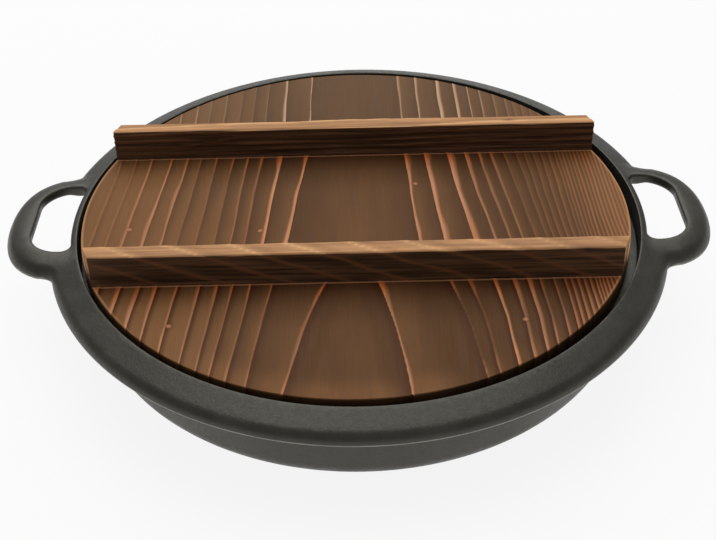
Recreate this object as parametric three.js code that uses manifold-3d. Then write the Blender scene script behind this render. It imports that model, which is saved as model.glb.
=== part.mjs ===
// Gyoza pan: a shallow cast iron pan with two loop handles and a charred wooden drop-in lid.
// Millimetres, +Z up, handles along X, origin at the middle of the base.

import * as THREE from 'three';
import { mergeVertices } from 'three/addons/utils/BufferGeometryUtils.js';
import Module from 'manifold-3d';

// Lid board
const LID_RADIUS = 119.6;
const LID_THICKNESS = 11;
const LID_EDGE_CHAMFER = 1;
const LID_PROUD = 0.6;
const LID_SIDE_PLAY = 2.9;
const LID_SEAT_CLEARANCE = 0.3;
const LID_REST_SHIFT = -1.2;

// Battens, held in the lid board by sliding dovetails
const BATTEN_THICKNESS = 7.8;
const BATTEN_HEIGHT = 15;
const BATTEN_FROM_CENTRE = 47.4;
const BATTEN_EDGE_CHAMFER = 0.8;
const TONGUE_NECK = 4.6;
const TONGUE_ROOT = 6.4;
const TONGUE_DEPTH = 4.5;
const DOVETAIL_CLEARANCE = 0.3;

// Brim, which falls away outwards from the lid
const BRIM_WIDTH = 12.5;
const BRIM_EDGE_HEIGHT = 39.4;
const BRIM_RISE = 4.6;
const BRIM_LIP = 4.4;
const BRIM_SHOULDER_ROUND = 5;
const BRIM_INNER_ROUND = 0.8;
const BRIM_ARRIS_ROUND = 0.4;

// Seat for the lid, with a belt of iron round its outside
const SEAT_LEDGE = 7;
const SEAT_CORNER_ROUND = 1;
const BELT_WALL = 2.6;
const BELT_BELOW_SEAT = 1;
const BELT_TAPER = 7;
const BELT_ROUND = 3;

// Bowl
const BOWL_WALL = 5;
const BOWL_DRAFT = 1.5;
const FLOOR_THICKNESS = 4.5;
const FLOOR_ROUND = 10;
const BASE_ROUND = 9;

// Loop handles
const HANDLE_REACH = 19.9;
const HANDLE_BELOW_BRIM = 1;
const HANDLE_THICKNESS = 4.6;
const HANDLE_CROWN = 6;
const HANDLE_CROWN_RUN = 11;
const HANDLE_FOOT_RISE = 3.4;
const HANDLE_BAR = 12.5;
const HANDLE_TIP_FULLNESS = 16;
const HANDLE_SHOULDER_SET = 4.9;
const HANDLE_SHOULDER_HALF_WIDTH = 28.5;
const HANDLE_ARM_OUT = 2;
const HANDLE_ARM_HALF_WIDTH = 33.8;
const HANDLE_NECK_FLARE = 0.8;
const HANDLE_ROOT_HALF_WIDTH = 38.5;
const OPENING_HALF_WIDTH = 24;
const OPENING_OUTER_ROUND = 13.5;
const OPENING_INNER_ROUND = 4;
const OPENING_RING = 3;

// Fineness of round stretches
const TURN_SEGMENTS = 72;
const ROUND_STEP = Math.PI / 7;
const CURVE_SEGMENTS = 8;
const CROWN_SEGMENTS = 4;

// How far a cutting body runs past what it cuts
const CUT_MARGIN = 5;
const WELD = 1e-4;

// Radii and heights that follow from the sizes above
const seatRadius = LID_RADIUS + LID_SIDE_PLAY;
const brimRadius = seatRadius + BRIM_WIDTH;
const brimInnerHeight = BRIM_EDGE_HEIGHT + BRIM_RISE;
const lidTopHeight = brimInnerHeight + LID_PROUD;
const lidBaseHeight = lidTopHeight - LID_THICKNESS;
const seatHeight = lidBaseHeight - LID_SEAT_CLEARANCE;
const bowlRadius = seatRadius - SEAT_LEDGE;
const wallRadius = bowlRadius + BOWL_WALL;
const beltRadius = seatRadius + BELT_WALL;
const handleTop = brimInnerHeight - HANDLE_BELOW_BRIM;
const handleBottom = handleTop - HANDLE_THICKNESS;
const handleTip = brimRadius + HANDLE_REACH;
const openingOuter = handleTip - HANDLE_BAR;
const openingInner = seatRadius + OPENING_RING;

const wasm = await Module();
wasm.setup();

// A corner is [across, up, rounding radius]; the result has an arc at each rounded corner.
function roundCorners(corners) {
  const points = [];
  corners.forEach(([across, up, radius], i) => {
    const corner = new THREE.Vector2(across, up);
    if (!radius) {
      points.push(corner);
      return;
    }
    const before = corners[(i + corners.length - 1) % corners.length];
    const after = corners[(i + 1) % corners.length];
    const toBefore = new THREE.Vector2(before[0], before[1]).sub(corner).normalize();
    const toAfter = new THREE.Vector2(after[0], after[1]).sub(corner).normalize();
    const half = Math.acos(toBefore.dot(toAfter)) / 2;
    const centre = toBefore.clone().add(toAfter).setLength(radius / Math.sin(half)).add(corner);
    const start = toBefore.multiplyScalar(radius / Math.tan(half)).add(corner).sub(centre);
    const end = toAfter.multiplyScalar(radius / Math.tan(half)).add(corner).sub(centre);
    const turn = Math.atan2(start.cross(end), start.dot(end));
    const steps = Math.max(2, Math.ceil(Math.abs(turn) / ROUND_STEP));
    for (let k = 0; k <= steps; k += 1) {
      const spoke = start.clone().rotateAround(new THREE.Vector2(), (turn * k) / steps);
      points.push(spoke.add(centre));
    }
  });
  return points;
}

// Turned body about Z from a profile of [radius, height, rounding] corners.
function turned(corners) {
  const geometry = new THREE.LatheGeometry(roundCorners(corners), TURN_SEGMENTS);
  return geometry.rotateX(Math.PI / 2);
}

// Closed solid for joining and cutting, from the welded triangles of a geometry.
function solidOf(geometry) {
  geometry.deleteAttribute('normal');
  geometry.deleteAttribute('uv');
  const welded = mergeVertices(geometry, WELD);
  const index = welded.index.array;
  const triangles = [];
  for (let i = 0; i < index.length; i += 3) {
    const [a, b, c] = index.slice(i, i + 3);
    if (a !== b && b !== c && c !== a) {
      triangles.push(a, b, c);
    }
  }
  return new wasm.Manifold(new wasm.Mesh({
    numProp: 3,
    vertProperties: welded.attributes.position.array,
    triVerts: Uint32Array.from(triangles),
  }));
}

function meshOf(name, solid, material) {
  const { vertProperties, triVerts } = solid.getMesh();
  const geometry = new THREE.BufferGeometry();
  geometry.setAttribute('position', new THREE.BufferAttribute(vertProperties, 3));
  geometry.setIndex(new THREE.BufferAttribute(triVerts, 1));
  geometry.computeVertexNormals();
  const mesh = new THREE.Mesh(geometry, material);
  mesh.name = name;
  return mesh;
}

// Round bar used to trim other bodies, from one height to another.
function trimRound(radius, low, high) {
  return solidOf(turned([[0, low, 0], [radius, low, 0], [radius, high, 0], [0, high, 0]]));
}

// Bowl, lid seat and brim in one turned casting, from the base outwards, over the brim and back in.
function bowlSolid() {
  const slope = BRIM_RISE / BRIM_WIDTH;
  const lipHeight = BRIM_EDGE_HEIGHT - BRIM_LIP;
  const underBrim = lipHeight + (brimRadius - beltRadius) * slope;
  const beltFoot = seatHeight - BELT_BELOW_SEAT;
  return solidOf(turned([
    [0, 0, 0],
    [wallRadius - BOWL_DRAFT, 0, BASE_ROUND],
    [wallRadius, beltFoot - BELT_TAPER, BELT_ROUND],
    [beltRadius, beltFoot, BELT_ROUND],
    [beltRadius, underBrim, BELT_WALL / 2],
    [brimRadius, lipHeight, BRIM_ARRIS_ROUND],
    [brimRadius, BRIM_EDGE_HEIGHT, BRIM_SHOULDER_ROUND],
    [seatRadius, brimInnerHeight, BRIM_INNER_ROUND],
    [seatRadius, seatHeight, SEAT_CORNER_ROUND],
    [bowlRadius, seatHeight, BRIM_INNER_ROUND],
    [bowlRadius - BOWL_DRAFT, FLOOR_THICKNESS, FLOOR_ROUND],
    [0, FLOOR_THICKNESS, 0],
  ]));
}

// Plan of the handle opening: a ring side that follows the brim, and rounded outer corners.
function openingOutline(ringRadius) {
  const ringEdge = Math.sqrt(ringRadius ** 2 - OPENING_HALF_WIDTH ** 2);
  const ringTurn = Math.asin((OPENING_HALF_WIDTH - OPENING_INNER_ROUND) / ringRadius);
  const outer = roundCorners([
    [ringEdge, -OPENING_HALF_WIDTH, OPENING_INNER_ROUND],
    [openingOuter, -OPENING_HALF_WIDTH, OPENING_OUTER_ROUND],
    [openingOuter, OPENING_HALF_WIDTH, OPENING_OUTER_ROUND],
    [ringEdge, OPENING_HALF_WIDTH, OPENING_INNER_ROUND],
  ]);
  const ring = new THREE.EllipseCurve(0, 0, ringRadius, ringRadius, ringTurn, -ringTurn, true);
  return outer.concat(ring.getPoints(CURVE_SEGMENTS).slice(1, -1));
}

// Plan of one loop handle, with arms that widen into the brim.
function handleOutline() {
  const armX = brimRadius + HANDLE_ARM_OUT;
  const shoulderX = handleTip - HANDLE_SHOULDER_SET;
  const neckX = brimRadius - HANDLE_SHOULDER_SET;
  const rootX = Math.sqrt(brimRadius ** 2 - HANDLE_ROOT_HALF_WIDTH ** 2) - HANDLE_SHOULDER_SET;
  const innerX = rootX - HANDLE_BAR - HANDLE_CROWN_RUN;
  const outline = new THREE.Shape();
  outline.moveTo(innerX, -HANDLE_ROOT_HALF_WIDTH);
  outline.lineTo(rootX, -HANDLE_ROOT_HALF_WIDTH);
  outline.quadraticCurveTo(neckX, -HANDLE_ARM_HALF_WIDTH - HANDLE_NECK_FLARE, armX, -HANDLE_ARM_HALF_WIDTH);
  outline.bezierCurveTo(shoulderX, -HANDLE_SHOULDER_HALF_WIDTH, handleTip, -HANDLE_TIP_FULLNESS, handleTip, 0);
  outline.bezierCurveTo(handleTip, HANDLE_TIP_FULLNESS, shoulderX, HANDLE_SHOULDER_HALF_WIDTH,
    armX, HANDLE_ARM_HALF_WIDTH);
  outline.quadraticCurveTo(neckX, HANDLE_ARM_HALF_WIDTH + HANDLE_NECK_FLARE, rootX, HANDLE_ROOT_HALF_WIDTH);
  outline.lineTo(innerX, HANDLE_ROOT_HALF_WIDTH);
  outline.closePath();
  return outline;
}

// Block under the handle's outline, with its upper edge drawn in over the crown's run.
function crownedBlock(top, rise, depth, segments) {
  const block = new THREE.ExtrudeGeometry(handleOutline(), {
    depth,
    curveSegments: CURVE_SEGMENTS,
    bevelEnabled: true,
    bevelThickness: rise,
    bevelSize: HANDLE_CROWN_RUN,
    bevelOffset: -HANDLE_CROWN_RUN,
    bevelSegments: segments,
  });
  return solidOf(block.translate(0, 0, top - rise - depth));
}

// Through cut of the handle opening.
function openingCut(ringRadius) {
  const low = handleBottom - HANDLE_FOOT_RISE - CUT_MARGIN;
  const cut = new THREE.ExtrudeGeometry(new THREE.Shape(openingOutline(ringRadius)), {
    depth: brimInnerHeight + CUT_MARGIN - low,
    bevelEnabled: false,
  });
  return solidOf(cut.translate(0, 0, low));
}

// Crowned loop with a hollow underside, trimmed to end inside the iron round the seat.
function handleSolid() {
  const hollowDepth = 2 * (HANDLE_CROWN + CUT_MARGIN);
  const hollow = crownedBlock(handleBottom, HANDLE_FOOT_RISE, hollowDepth, 1);
  const trim = trimRound(seatRadius + BELT_WALL / 2, handleBottom - hollowDepth, handleTop + CUT_MARGIN);
  return crownedBlock(handleTop, HANDLE_CROWN, CUT_MARGIN, CROWN_SEGMENTS)
    .subtract(hollow)
    .subtract(openingCut(openingInner - OPENING_RING / 2))
    .subtract(trim);
}

function panSolid() {
  const handle = handleSolid();
  const opening = openingCut(openingInner);
  const halfTurn = [0, 0, 180];
  return bowlSolid()
    .subtract(opening)
    .subtract(opening.rotate(halfTurn))
    .add(handle)
    .add(handle.rotate(halfTurn));
}

// Straight bar along X with the given section of [across Y, up Z] corners.
function barAlongX(section, length) {
  const bar = new THREE.ExtrudeGeometry(new THREE.Shape(roundCorners(section)), {
    depth: length,
    bevelEnabled: false,
  });
  bar.translate(0, 0, -length / 2);
  const alongX = new THREE.Matrix4().makeBasis(
    new THREE.Vector3(0, 1, 0),
    new THREE.Vector3(0, 0, 1),
    new THREE.Vector3(1, 0, 0),
  );
  return bar.applyMatrix4(alongX);
}

// Round board with a dovetail groove right across it for each batten.
function lidBoardSolid() {
  const board = solidOf(turned([
    [0, -LID_THICKNESS, 0],
    [LID_RADIUS - LID_EDGE_CHAMFER, -LID_THICKNESS, 0],
    [LID_RADIUS, LID_EDGE_CHAMFER - LID_THICKNESS, 0],
    [LID_RADIUS, -LID_EDGE_CHAMFER, 0],
    [LID_RADIUS - LID_EDGE_CHAMFER, 0, 0],
    [0, 0, 0],
  ]));
  const flare = (TONGUE_ROOT - TONGUE_NECK) / 2 / TONGUE_DEPTH;
  const neck = TONGUE_NECK / 2 + DOVETAIL_CLEARANCE;
  const root = TONGUE_ROOT / 2 + DOVETAIL_CLEARANCE;
  const mouth = neck - CUT_MARGIN * flare;
  const bottom = -TONGUE_DEPTH - DOVETAIL_CLEARANCE;
  const groove = solidOf(barAlongX([
    [-root, bottom, 0],
    [root, bottom, 0],
    [mouth, CUT_MARGIN, 0],
    [-mouth, CUT_MARGIN, 0],
  ], 2 * (LID_RADIUS + CUT_MARGIN)));
  return board
    .subtract(groove.translate([0, BATTEN_FROM_CENTRE, 0]))
    .subtract(groove.translate([0, -BATTEN_FROM_CENTRE, 0]));
}

// Upright batten with its tongue, cut at both ends to the lid's circle.
function battenSolid(side) {
  const half = BATTEN_THICKNESS / 2;
  const bar = solidOf(barAlongX([
    [-TONGUE_ROOT / 2, -TONGUE_DEPTH, 0],
    [TONGUE_ROOT / 2, -TONGUE_DEPTH, 0],
    [TONGUE_NECK / 2, 0, 0],
    [half, 0, 0],
    [half, BATTEN_HEIGHT - BATTEN_EDGE_CHAMFER, 0],
    [half - BATTEN_EDGE_CHAMFER, BATTEN_HEIGHT, 0],
    [BATTEN_EDGE_CHAMFER - half, BATTEN_HEIGHT, 0],
    [-half, BATTEN_HEIGHT - BATTEN_EDGE_CHAMFER, 0],
    [-half, 0, 0],
    [-TONGUE_NECK / 2, 0, 0],
  ], 2 * LID_RADIUS));
  const trim = trimRound(LID_RADIUS, -LID_THICKNESS, BATTEN_HEIGHT + CUT_MARGIN);
  return bar.translate([0, side * BATTEN_FROM_CENTRE, 0]).intersect(trim);
}

const castIron = new THREE.MeshStandardMaterial({ color: 0x45463f, roughness: 0.55, metalness: 0.5 });
const charredBoard = new THREE.MeshStandardMaterial({ color: 0x74472b, roughness: 0.7, metalness: 0 });
const frontWood = new THREE.MeshStandardMaterial({ color: 0x8d5f38, roughness: 0.65, metalness: 0 });
const rearWood = new THREE.MeshStandardMaterial({ color: 0x84522e, roughness: 0.65, metalness: 0 });

// The lid group's origin is the middle of the board's upper face.
const lid = new THREE.Group();
lid.position.set(LID_REST_SHIFT, 0, lidTopHeight);
lid.add(meshOf('lid_board', lidBoardSolid(), charredBoard));
lid.add(meshOf('front_batten', battenSolid(-1), frontWood));
lid.add(meshOf('rear_batten', battenSolid(1), rearWood));

const gyozaPan = new THREE.Group();
gyozaPan.add(meshOf('pan_casting', panSolid(), castIron));
gyozaPan.add(lid);

export default gyozaPan;
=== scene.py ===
import math
from bisect import bisect_right
from functools import lru_cache

import bpy
from mathutils import Matrix, Vector, noise


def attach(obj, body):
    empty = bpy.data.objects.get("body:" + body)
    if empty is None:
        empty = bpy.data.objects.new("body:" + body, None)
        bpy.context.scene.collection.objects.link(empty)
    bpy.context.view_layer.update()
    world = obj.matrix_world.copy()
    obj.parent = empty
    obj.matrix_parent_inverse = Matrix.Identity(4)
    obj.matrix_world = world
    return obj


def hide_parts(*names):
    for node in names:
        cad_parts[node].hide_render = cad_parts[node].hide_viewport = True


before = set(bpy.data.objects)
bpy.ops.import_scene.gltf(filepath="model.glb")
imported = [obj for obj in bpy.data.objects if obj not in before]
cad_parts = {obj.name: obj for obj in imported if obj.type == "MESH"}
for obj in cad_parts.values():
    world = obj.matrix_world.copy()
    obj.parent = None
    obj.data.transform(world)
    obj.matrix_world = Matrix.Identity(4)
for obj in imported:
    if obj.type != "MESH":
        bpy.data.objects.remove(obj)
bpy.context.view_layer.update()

bl_info = {
    "name": "Gyoza pan",
    "version": (1, 0, 0),
    "blender": (4, 5, 0),
    "location": "View3D > Sidebar > Gyoza pan",
    "description": "Dresses the packed gyoza pan: iron casting, brushed lid board, battens and studio",
    "category": "Object",
}

MM = 0.001

# distance that counts as touching, in metres, and how finely round bodies and brushed faces are divided
TOUCH = 1e-6
PAN_STEPS = 256
LID_STEPS = 288
BOARD_GRID = (400, 200)
BATTEN_CUTS = {"long": 330, "tall": 26, "top": 3}

# outline of a handle in mm: half widths at its root, arm, shoulder and tip, how far the root is set in under
# the brim, how far the neck flares, how far out the arm starts, and the fillet at the root with its room
HANDLE_ROOT = 38.5
HANDLE_ARM = 33.8
HANDLE_SHOULDER = 28.5
HANDLE_TIP = 16
HANDLE_SET_IN = 4.9
HANDLE_FLARE = 0.8
HANDLE_START = 2
ROOT_FILLET = 5
ROOT_ROOM = 4

# corners of a handle's opening in mm, outside and at the thin ring, and the spacing of points on the ring
OPENING_CORNER = 13.5
OPENING_HEEL = 4
OPENING_STEP = 4

# grid in mm that the brim is cut into before it is raised, and its shift as a share
BRIM_GRID = 2.4
BRIM_GRID_SHIFT = 0.31

# half lengths in metres of the blanks for the battens and their grooves, longer than the lid is wide
BATTEN_BLANK = 0.13
GROOVE_BLANK = 0.15

# growth rings of the board, from its middle outwards: distance in mm from the middle line, 44 mm behind the
# lid's middle, and how boldly the ring stands out behind the rear batten, between the battens and in front
LEFT_RINGS = (
    (22.9, 0.65, 0.9, 0.25), (35.0, 0.75, 0.95, 0.28), (44.2, 0.25, 0.3, 0.28), (50.7, 0.2, 0.34, 0.26),
    (57.4, 0.18, 0.18, 0.38), (65.0, 0.3, 0.22, 0.46), (72.4, 0.25, 0.18, 0.52), (78.6, 0.4, 0.5, 0.52),
    (86.2, 0.4, 0.62, 0.5), (95.6, 0.25, 0.5, 0.5), (103.0, 0.25, 0.26, 0.42), (110.0, 0.25, 0.26, 0.42),
    (118.0, 0.25, 0.26, 0.42), (126.0, 0.25, 0.26, 0.42), (134.0, 0.25, 0.26, 0.42),
)
RIGHT_RINGS = (
    (22.5, 0.5, 0.75, 0.15), (31.1, 0.6, 0.95, 0.2), (41.8, 0.85, 0.9, 0.7), (50.2, 0.75, 0.5, 0.4),
    (56.7, 0.55, 0.38, 0.55), (62.3, 0.45, 0.38, 0.3), (68.7, 0.3, 0.12, 0.3), (74.4, 0.25, 0.1, 0.36),
    (78.0, 0.2, 0.1, 0.36), (81.8, 0.2, 0.1, 0.36), (85.5, 0.2, 0.12, 0.36), (89.0, 0.2, 0.15, 0.36),
    *((92.1 + 1.75 * turn, 0.25, min(0.4, 0.18 + 0.025 * turn) + 0.07 * (turn % 3 - 1), 0.36)
      for turn in range(24)),
)

# how the rings open towards the front: row in mm, and growth of the squared distance for inner and outer
# rings; the spans say which distances count as inner and outer, and the fine rings by the rim open less
LEFT_OPENING = ((120.0, -40.0, -40.0), (44.0, 0.0, 0.0), (-24.0, 420.0, 1060.0), (-51.0, 740.0, 2150.0),
                (-75.0, 1000.0, 2600.0), (-112.0, 1350.0, 3000.0))
LEFT_SPAN = (45.0, 92.0)
RIGHT_OPENING = ((120.0, -30.0, -30.0), (44.0, 0.0, 0.0), (10.0, 20.0, 440.0), (-24.0, 50.0, 1010.0),
                 (-51.0, 740.0, 1500.0), (-75.0, 1230.0, 1740.0), (-108.0, 1670.0, 1850.0))
RIGHT_SPAN = (12.0, 64.0)
RIM_SPAN = (66.0, 100.0)
RIM_SHARE = 0.6

# innermost ring, a flame that opens towards the front: tip row, opening, middle line at two rows, boldness on
# the left and right, and how the heart inside it is counted
FLAME_TIP = -36.0
FLAME_OPENING = 7.0
FLAME_MIDDLE = ((-53.0, -3.3), (-116.0, -5.7))
FLAME_BOLD = (0.42, 0.58)
HEART_PITCH = 24.0
HEART_PACE = 6.0
HEART_BLEND = (-12, 12)

# pin knots on the board: place in mm
PIN_KNOTS = ((26.1, 18.6), (-42.5, -14.8), (64.5, -77.0), (-99.3, -11.9), (-75.4, -76.5))


def number(label, words, default, **kind):
    """A number as a property."""
    return bpy.props.FloatProperty(name=label, description=words, default=default, **kind)


def length(label, words, default):
    """A size in millimetres as a property."""
    return number(label, words, default * MM, subtype="DISTANCE", unit="LENGTH", precision=4)


def angle(label, words, default):
    """An angle in degrees as a property."""
    return number(label, words, math.radians(default), subtype="ANGLE", unit="ROTATION")


def colour(label, words, default):
    """A colour as a property."""
    return bpy.props.FloatVectorProperty(
        name=label, description=words, default=default, subtype="COLOR", size=3, min=0.0, max=1.0)


class PanSizes(bpy.types.PropertyGroup):
    """Sizes of the iron casting."""
    brim_radius: length("Brim radius", "Outer edge of the brim", 135.0)
    bore_radius: length("Bore radius", "Inner edge of the brim, round the lid", 122.5)
    brim_edge: length("Brim edge height", "Top of the brim at its outer edge", 39.4)
    brim_rise: length("Brim rise", "How much higher the brim is at the bore", 4.6)
    brim_lip: length("Brim lip", "Thickness of the brim at its outer edge", 4.4)
    seat_height: length("Seat height", "Ledge that the lid rests on", 33.3)
    well_radius: length("Well radius", "Inside of the bowl at the seat", 115.5)
    floor_thickness: length("Floor thickness", "Iron under the well", 4.5)
    wall_radius: length("Wall radius", "Outside of the bowl", 120.5)
    belt_radius: length("Belt radius", "Outside of the thicker wall under the brim", 125.1)
    draft: length("Draft", "How far the wall leans in at the base", 1.5)
    handle_top: length("Handle top", "Height of the handles' upper face by the opening", 43.0)
    handle_fall: length("Handle fall", "How far a handle's upper face falls to its edge", 3.4)
    handle_thickness: length("Handle thickness", "Thickness of a handle by its opening", 4.6)
    crown_run: length("Crown run", "How far in from its edge a handle is crowned", 11.0)
    handle_tip: length("Handle tip", "Reach of a handle from the middle of the pan", 154.9)
    opening_reach: length("Opening reach", "Outer end of a handle's opening", 142.4)
    opening_ring: length("Opening ring", "Outside of the thin ring between bore and opening", 125.5)
    opening_half: length("Opening half width", "Half the width of a handle's opening", 24.0)
    edge_round: length("Edge round", "Rounding of the brim's and handles' upper edge", 3.4)


class LidSizes(bpy.types.PropertyGroup):
    """Sizes of the wooden lid."""
    radius: length("Lid radius", "Outside of the board", 119.6)
    shift: length("Lid shift", "How far right of the middle the lid lies in its seat", -1.2)
    top: length("Board top", "Height of the board's upper face", 44.6)
    base: length("Board base", "Height of the board's lower face", 33.6)
    edge: length("Board edge", "Rounding of the board's rims", 1.0)
    ridge: length("Ridge height", "How far the grain stands up after brushing", 0.38)
    batten_thickness: length("Batten thickness", "Thickness of a batten", 7.8)
    batten_top: length("Batten top", "Height of the battens' upper face", 59.6)
    batten_place: length("Batten place", "From the lid's middle to a batten's middle", 47.4)
    tongue_neck: length("Tongue neck", "Width of the dovetail at the board's face", 4.6)
    tongue_root: length("Tongue root", "Width of the dovetail at its foot", 6.4)
    tongue_depth: length("Tongue depth", "Depth of the dovetail", 4.5)
    clearance: length("Dovetail clearance", "Room round the tongue in its groove", 0.3)


class Finishes(bpy.types.PropertyGroup):
    """Colours of the pan and its lid."""
    iron: colour("Iron", "Main colour of the casting", (0.016, 0.0155, 0.013))
    iron_worn: colour("Iron, worn", "Lighter mottling of the casting", (0.03, 0.029, 0.024))
    # painted highlight: light grey painted along the brim's lower arris, where it would reflect the floor
    arris_highlight: colour("Iron, bare", "Arris that is rubbed to the metal", (0.42, 0.41, 0.37))
    iron_sheen: colour("Iron sheen", "Tint of what the iron reflects", (1.0, 0.96, 0.82))
    board_dark: colour("Board, dark", "Charred flats", (0.122, 0.053, 0.0185))
    board_light: colour("Board, light", "Brushed flats", (0.25, 0.113, 0.041))
    # painted sheen: the grey that the flats behind the rear batten are mixed towards
    board_rear_sheen: colour("Board, weathered", "Flats behind the rear batten", (0.19, 0.115, 0.062))
    # scorched wood beside the raised grain and battens; by the battens and beside the rings it is partly
    # painted shade
    scorch_and_shade: colour("Scorch", "Burnt wood beside the raised grain and battens", (0.055, 0.012, 0.003))
    # painted sheen: the paler colour of the raised grain behind the rear batten
    crest_rear_sheen: colour("Crest, weathered", "Raised grain behind the rear batten", (0.74, 0.46, 0.3))
    crest: colour("Crest", "Rubbed grain ridges", (0.7, 0.315, 0.16))
    ember: colour("Crest by the battens", "Ridges that the brush reached less", (0.75, 0.19, 0.045))
    # also the painted shadow on the board in front of the battens; elsewhere the charred colour of the
    # board's side, streaks and knots
    char: colour("Char", "Soot on the board's side and in front of the battens", (0.012, 0.007, 0.004))
    batten_face: colour("Batten face", "Charred sides of the battens", (0.16, 0.075, 0.034))
    batten_streak: colour("Batten streak", "Grain in the sides of the battens", (0.26, 0.1, 0.04))
    # also the colour of the painted highlight along the left and right of the lid's rim
    batten_top: colour("Batten top", "Rubbed tops of the battens", (0.74, 0.385, 0.18))


class StageSettings(bpy.types.PropertyGroup):
    """Camera, lamp and floor."""
    lens: number("Lens", "Focal length in mm", 61.22, unit="CAMERA")
    distance: length("Distance", "From the camera to what it looks at", 545.41)
    elevation: angle("Elevation", "Height of the camera above the horizon", 38.296)
    roll: angle("Roll", "Tilt of the camera", -1.247)
    target: bpy.props.FloatVectorProperty(
        name="Target", description="Point that the camera looks at",
        default=(-0.000661, -0.010257, 0.018), subtype="TRANSLATION", unit="LENGTH", size=3)
    key_power: number("Overhead light", "Power of the softbox over the pan", 24.0, unit="POWER")
    fill: number("Room light", "Strength of the light from all round", 0.3)
    floor_white: number("Floor whiteness", "How much of the floor shows as plain white", 0.88,
                        subtype="FACTOR", min=0.0, max=1.0)


# shaping by hand, in code

def close():
    """Leaves edit mode."""
    bpy.ops.object.mode_set(mode="OBJECT")


def select_all():
    """Selects the whole mesh, in edit mode."""
    bpy.ops.mesh.select_all(action="SELECT")


def deselect():
    """Leaves edit mode with nothing selected."""
    if bpy.context.mode != "OBJECT":
        close()
    bpy.ops.object.select_all(action="DESELECT")


def activate(piece):
    """Makes one piece the only one that the next operators act on."""
    deselect()
    piece.select_set(True)
    bpy.context.view_layer.objects.active = piece


def edit(piece, kind="EDGE"):
    """Opens a piece in edit mode with nothing selected."""
    activate(piece)
    bpy.ops.object.mode_set(mode="EDIT")
    bpy.ops.mesh.select_mode(type=kind)
    bpy.ops.mesh.select_all(action="DESELECT")


def named(name):
    """Names the object that was just added, and puts its place into its mesh."""
    piece = bpy.context.object
    piece.name = name
    piece.data.name = name
    bpy.ops.object.transform_apply(location=True, rotation=True, scale=True)
    return piece


def outward():
    """Merges doubles and turns all faces outwards, in edit mode."""
    select_all()
    bpy.ops.mesh.remove_doubles(threshold=TOUCH)
    bpy.ops.mesh.normals_make_consistent(inside=False)


def rounded(corners, step=math.radians(9), closed=False):
    """A line through (u, v, radius) corners, each radius turned as an arc."""
    line = []
    count = len(corners)
    for place, (u, v, radius) in enumerate(corners):
        here = Vector((u, v))
        if radius <= 0 or (not closed and place in (0, count - 1)):
            line.append(here)
            continue
        back = (Vector(corners[place - 1][:2]) - here).normalized()
        ahead = (Vector(corners[(place + 1) % count][:2]) - here).normalized()
        half = back.angle(ahead) / 2
        centre = here + (back + ahead).normalized() * radius / math.sin(half)
        spoke = here + back * radius / math.tan(half) - centre
        turn = math.pi - 2 * half
        sense = 1 if back.cross(ahead) < 0 else -1
        parts = max(2, math.ceil(turn / step))
        for part in range(parts + 1):
            line.append(centre + Matrix.Rotation(sense * turn * part / parts, 2) @ spoke)
    return line


def drawn(name, points):
    """A chain of edges, extruded from point to point, left open in edit mode."""
    deselect()
    bpy.ops.mesh.primitive_plane_add(size=MM)
    piece = named(name)
    bpy.ops.object.mode_set(mode="EDIT")
    bpy.ops.mesh.select_mode(type="VERT")
    select_all()
    bpy.ops.mesh.merge(type="CENTER")
    bpy.ops.transform.translate(value=points[0])
    for last, point in zip(points, points[1:]):
        bpy.ops.mesh.extrude_region_move(TRANSFORM_OT_translate={"value": point - last})
    return piece


def turned(name, profile, steps):
    """A round body, spun from its profile of (radius, height) points."""
    piece = drawn(name, [Vector((radius, 0, height)) for radius, height in profile])
    select_all()
    bpy.ops.mesh.spin(steps=steps, angle=math.tau, center=(0, 0, 0), axis=(0, 0, 1))
    outward()
    close()
    return piece


def prism(name, outline, low, high):
    """An upright plate between two heights, extruded from its outline."""
    piece = drawn(name, [Vector((x, y, low)) for x, y in outline])
    select_all()
    bpy.ops.mesh.edge_face_add()
    bpy.ops.mesh.extrude_region_move(TRANSFORM_OT_translate={"value": (0, 0, high - low)})
    outward()
    close()
    return piece


def modify(piece, kind, **settings):
    """Gives a piece a modifier and applies it."""
    activate(piece)
    bpy.ops.object.modifier_add(type=kind)
    change = piece.modifiers[-1]
    for key, value in settings.items():
        setattr(change, key, value)
    bpy.ops.object.modifier_apply(modifier=change.name)


def apply_boolean(piece, tool, operation):
    """Cuts, joins or trims a piece with another one, which is used up."""
    modify(piece, "BOOLEAN", operation=operation, solver="EXACT", object=tool)
    bpy.data.objects.remove(tool, do_unlink=True)


def raise_by(piece, heights, reach, direction="Z"):
    """Pushes each vertex by its own share, from 0 to 1, of a reach."""
    group = piece.vertex_groups.new(name="raised")
    for index, share in enumerate(heights):
        group.add((index,), share, "REPLACE")
    modify(piece, "DISPLACE", direction=direction, mid_level=0.0, strength=reach, vertex_group=group.name)
    piece.vertex_groups.clear()


def select_edges(piece, wanted):
    """Opens a piece in edit mode with the edges selected whose two ends pass the test."""
    edit(piece)
    close()
    points = [vertex.co for vertex in piece.data.vertices]
    for edge in piece.data.edges:
        edge.select = wanted(points[edge.vertices[0]], points[edge.vertices[1]])
    bpy.ops.object.mode_set(mode="EDIT")


def round_edges(piece, wanted, width, segments):
    """Rounds the edges whose two ends pass the test."""
    select_edges(piece, wanted)
    bpy.ops.mesh.bevel(offset=width, segments=segments, affect="EDGES", clamp_overlap=True)
    close()


def smooth(piece, angle):
    """Shades a piece smooth, with a crease where faces meet at more than the angle."""
    activate(piece)
    bpy.ops.object.shade_smooth_by_angle(angle=angle)


def store(piece, name, values):
    """Keeps one number for each vertex, for the finish to read."""
    layer = piece.data.attributes.new(name, "FLOAT", "POINT")
    layer.data.foreach_set("value", values)


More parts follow.
